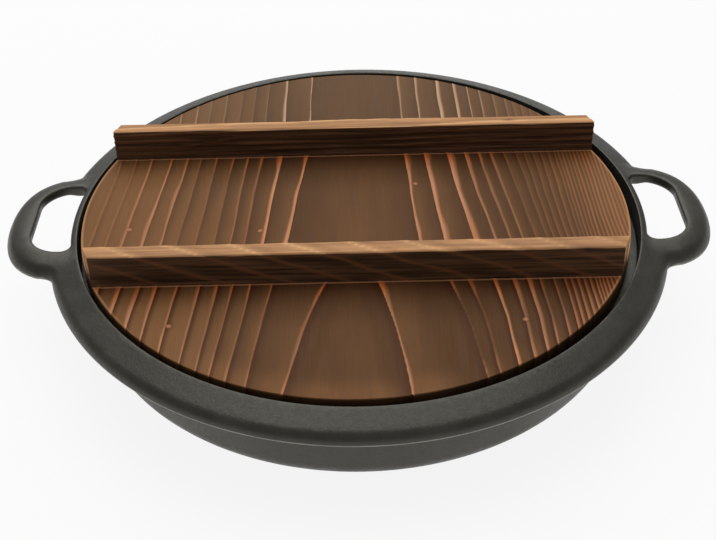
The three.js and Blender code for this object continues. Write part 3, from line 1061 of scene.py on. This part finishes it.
class GYOZA_OT_plane_battens(bpy.types.Operator):
    """Makes the two battens that hold the board flat and serve as its grips"""
    bl_idname = "gyoza.plane_battens"
    bl_label = "Plane the battens"

    def execute(self, context):
        lid = context.scene.gyoza_lid
        tone = context.scene.gyoza_finish
        front = plane_batten("front_lid_batten", lid, -1, FRONT_GRAIN)
        look = batten_finish("front_batten_char", tone, [math.radians(angle) for angle in (0, -22, 27)])
        finish_piece(front, look, "lid", "front_batten")
        rear = plane_batten("rear_lid_batten", lid, 1, REAR_GRAIN)
        look = batten_finish("rear_batten_char", tone, [math.radians(angle) for angle in (0, 1, 0)])
        finish_piece(rear, look, "lid", "rear_batten")
        return {"FINISHED"}


# stage

def background_share(tree):
    """1 for what the camera, a reflection or a clear body sees, 0 for light that falls on the object."""
    path = tree.nodes.new("ShaderNodeLightPath")
    total = path.outputs["Is Camera Ray"]
    for name in ("Is Glossy Ray", "Is Transmission Ray"):
        node = tree.nodes.new("ShaderNodeMath")
        node.operation = "ADD"
        node.use_clamp = True
        tree.links.new(total, node.inputs[0])
        tree.links.new(path.outputs[name], node.inputs[1])
        total = node.outputs[0]
    return total


def light_room(strength):
    """A soft even light from all round."""
    world = bpy.data.worlds.new("studio")
    bpy.context.scene.world = world
    world.use_nodes = True
    light = world.node_tree.nodes["Background"]
    light.inputs["Color"].default_value = (1, 1, 1, 1)
    light.inputs["Strength"].default_value = strength


def floor_finish(white):
    """A pale floor that shows white and still takes the pan's shadow."""
    material = bpy.data.materials.new("studio_floor")
    material.use_nodes = True
    tree = material.node_tree
    tree.nodes.clear()
    output = tree.nodes.new("ShaderNodeOutputMaterial")
    matt = tree.nodes.new("ShaderNodeBsdfDiffuse")
    matt.inputs["Color"].default_value = (0.92, 0.92, 0.92, 1)
    glow = tree.nodes.new("ShaderNodeEmission")
    glow.inputs["Strength"].default_value = 1.0
    share = tree.nodes.new("ShaderNodeMath")
    share.operation = "MULTIPLY"
    tree.links.new(background_share(tree), share.inputs[0])
    share.inputs[1].default_value = white
    blend = tree.nodes.new("ShaderNodeMixShader")
    tree.links.new(share.outputs[0], blend.inputs[0])
    tree.links.new(matt.outputs[0], blend.inputs[1])
    tree.links.new(glow.outputs[0], blend.inputs[2])
    tree.links.new(blend.outputs[0], output.inputs["Surface"])
    return material


def softbox(name, place, aim, width, height, power):
    """An oblong soft lamp at a place, turned to a point."""
    turn = (Vector(aim) - Vector(place)).to_track_quat("-Z", "Y").to_euler()
    bpy.ops.object.light_add(type="AREA", location=place, rotation=turn)
    lamp = bpy.context.object
    lamp.name = name
    lamp.data.shape = "RECTANGLE"
    lamp.data.size = width
    lamp.data.size_y = height
    lamp.data.energy = power


class GYOZA_OT_set_stage(bpy.types.Operator):
    """Sets the floor, the lamp and the camera"""
    bl_idname = "gyoza.set_stage"
    bl_label = "Set the stage"

    def execute(self, context):
        stage = context.scene.gyoza_stage
        deselect()
        bpy.ops.mesh.primitive_plane_add(size=30, location=(0, 0, -0.0003))
        floor = named("studio_floor")
        floor.data.materials.append(floor_finish(stage.floor_white))
        deselect()
        softbox("overhead_softbox", (-0.08, 0.8, 1.5), (0, 0, 0), 1.75, 2.4, stage.key_power)
        tilt = stage.elevation
        back = Vector((0, -math.cos(tilt), math.sin(tilt)))
        right = Vector((1, 0, 0))
        up = right.cross(-back)
        roll = stage.roll
        level = right * math.cos(roll) + up * math.sin(roll)
        upright = up * math.cos(roll) - right * math.sin(roll)
        turn = Matrix((level, upright, back)).transposed().to_4x4()
        bpy.ops.object.camera_add()
        camera = bpy.context.object
        camera.name = "photo_camera"
        camera.matrix_world = Matrix.Translation(Vector(stage.target) + back * stage.distance) @ turn
        camera.data.lens = stage.lens
        camera.data.sensor_width = 36.0
        camera.data.sensor_fit = "HORIZONTAL"
        camera.data.clip_start = 0.01
        context.scene.camera = camera
        context.scene.view_settings.view_transform = "Standard"
        light_room(stage.fill)
        return {"FINISHED"}


class GYOZA_PT_pan(bpy.types.Panel):
    """Steps and sizes of the gyoza pan"""
    bl_idname = "GYOZA_PT_pan"
    bl_label = "Gyoza pan"
    bl_space_type = "VIEW_3D"
    bl_region_type = "UI"
    bl_category = "Gyoza pan"

    def draw(self, context):
        for step in STEPS:
            self.layout.operator(step.bl_idname)
        for name in GROUPS:
            group = getattr(context.scene, name)
            column = self.layout.column(align=True)
            for key in group.__annotations__:
                column.prop(group, key)


STEPS = (GYOZA_OT_cast_pan, GYOZA_OT_saw_board, GYOZA_OT_plane_battens, GYOZA_OT_set_stage)
GROUPS = {
    "gyoza_pan": PanSizes, "gyoza_lid": LidSizes, "gyoza_finish": Finishes, "gyoza_stage": StageSettings}


def register():
    """Registers the settings, the steps and the panel."""
    for key, group in GROUPS.items():
        bpy.utils.register_class(group)
        setattr(bpy.types.Scene, key, bpy.props.PointerProperty(type=group))
    for step in (*STEPS, GYOZA_PT_pan):
        bpy.utils.register_class(step)


def unregister():
    """Takes the panel, the steps and the settings away again."""
    for step in (GYOZA_PT_pan, *reversed(STEPS)):
        bpy.utils.unregister_class(step)
    for key, group in reversed(GROUPS.items()):
        delattr(bpy.types.Scene, key)
        bpy.utils.unregister_class(group)


def main():
    """Registers everything, builds the pan in order and sets the stage."""
    register()
    bpy.ops.gyoza.cast_pan()
    bpy.ops.gyoza.saw_board()
    bpy.ops.gyoza.plane_battens()
    bpy.ops.gyoza.set_stage()
    deselect()


if __name__ == "__main__":
    main()
